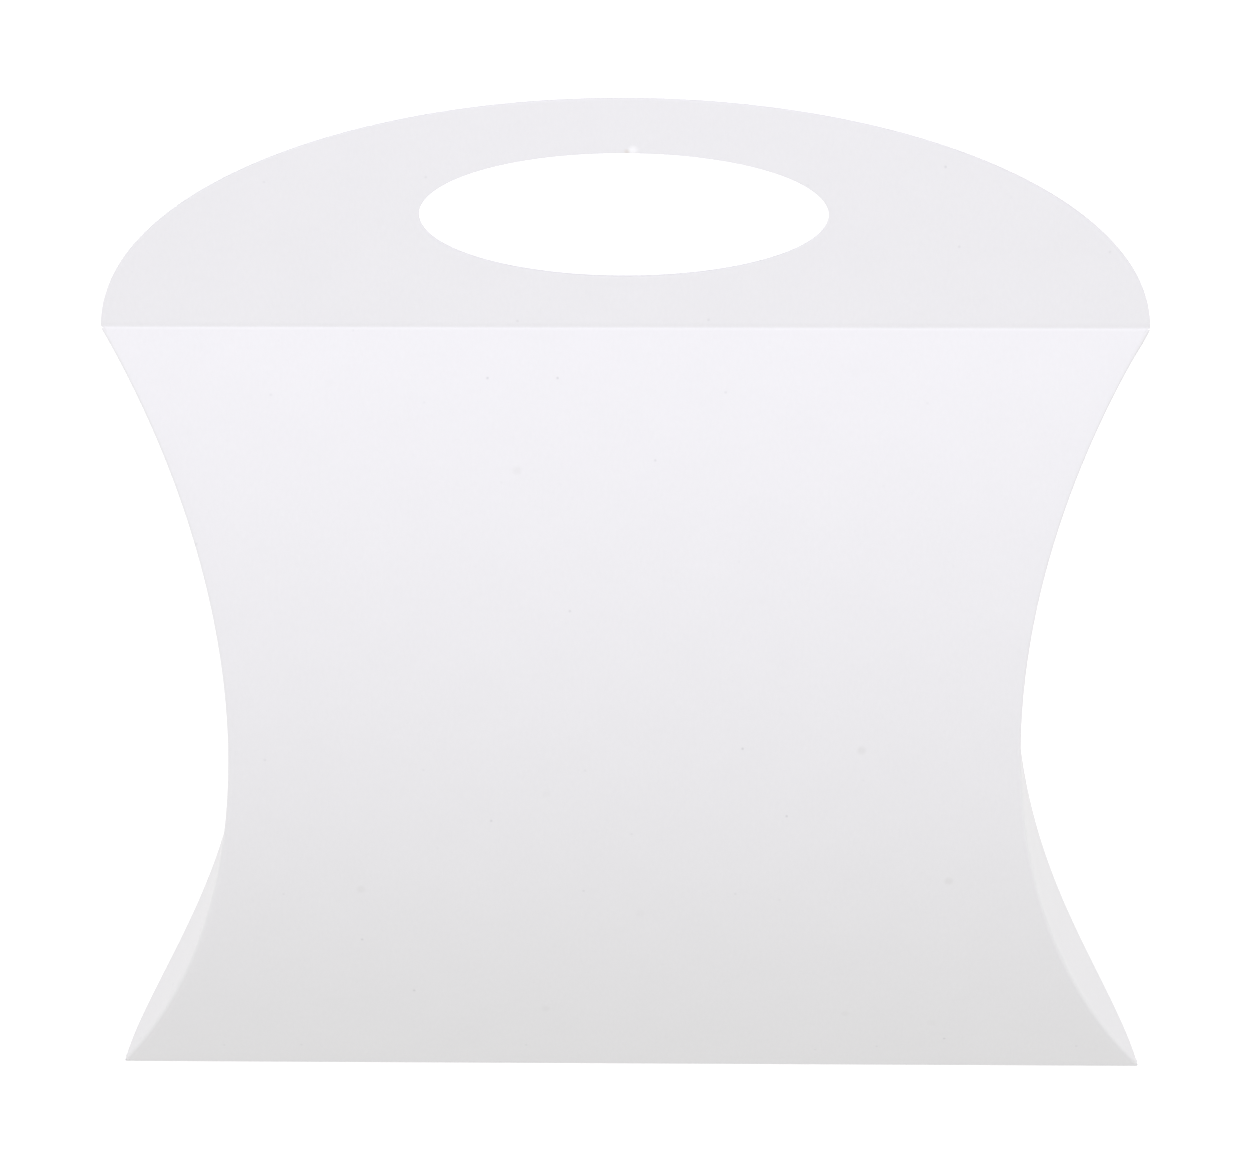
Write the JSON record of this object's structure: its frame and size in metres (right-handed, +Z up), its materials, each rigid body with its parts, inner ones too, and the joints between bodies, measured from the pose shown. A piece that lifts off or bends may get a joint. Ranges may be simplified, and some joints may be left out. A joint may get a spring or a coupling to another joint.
{
  "type": "pillow box",
  "caption": "White card pillow box with curved folded ends, tuck-in end flaps and a doubled half-oval carrying handle with an oval hand hole.",
  "frame": {"origin": "under the middle of the bottom fold, at its lowest line, with the box upright and its handle up", "axes": "+X along the box and its folds, -Y out of the front panel, +Z up towards the handle"},
  "size_m": [0.2, 0.0504, 0.1977],
  "materials": {
    "white_card": "matte",
    "crease": "matte"
  },
  "bodies": {
    "back_half": {"back_panel": "white_card", "back_top_crease": "crease", "bottom_crease": "crease"},
    "front_half": {"front_panel": "white_card", "front_top_crease": "crease"},
    "front_handle": {"front_handle": "white_card"},
    "back_handle": {"back_handle": "white_card"},
    "right_outer_flap": {"right_outer_flap": "white_card"},
    "left_outer_flap": {"left_outer_flap": "white_card"},
    "right_inner_flap": {"right_inner_flap": "white_card"},
    "left_inner_flap": {"left_inner_flap": "white_card"}
  },
  "joints": [
    {"name": "front_half_opening", "type": "hinge", "parent": "back_half", "child": "front_half", "pos_m": [0, 0, 0.0005], "axis": [1, 0, 0], "range_deg": [0, 60]},
    {"name": "front_handle_fold", "type": "hinge", "parent": "front_half", "child": "front_handle", "pos_m": [0, -0.00052, 0.1525], "axis": [1, 0, 0], "range_deg": [0, 120]},
    {"name": "back_handle_fold", "type": "hinge", "parent": "back_half", "child": "back_handle", "pos_m": [0, 0.00052, 0.1525], "axis": [-1, 0, 0], "range_deg": [0, 120]},
    {"name": "right_end_opening", "type": "hinge", "parent": "front_half", "child": "right_outer_flap", "pos_m": [0.07573, -0.02525, 0.0765], "axis": [0, 0, -1], "range_deg": [0, 90]},
    {"name": "left_end_opening", "type": "hinge", "parent": "front_half", "child": "left_outer_flap", "pos_m": [-0.07573, -0.02525, 0.0765], "axis": [0, 0, 1], "range_deg": [0, 90]},
    {"name": "right_inner_flap_opening", "type": "hinge", "parent": "back_half", "child": "right_inner_flap", "pos_m": [0.07487, 0.02525, 0.0765], "axis": [0, 0, 1], "range_deg": [0, 90]},
    {"name": "left_inner_flap_opening", "type": "hinge", "parent": "back_half", "child": "left_inner_flap", "pos_m": [-0.07487, 0.02525, 0.0765], "axis": [0, 0, -1], "range_deg": [0, 90]}
  ],
  "couplings": [
    {"joint": "right_inner_flap_opening", "follows": "right_end_opening", "ratio": 1},
    {"joint": "left_inner_flap_opening", "follows": "left_end_opening", "ratio": 1}
  ]
}
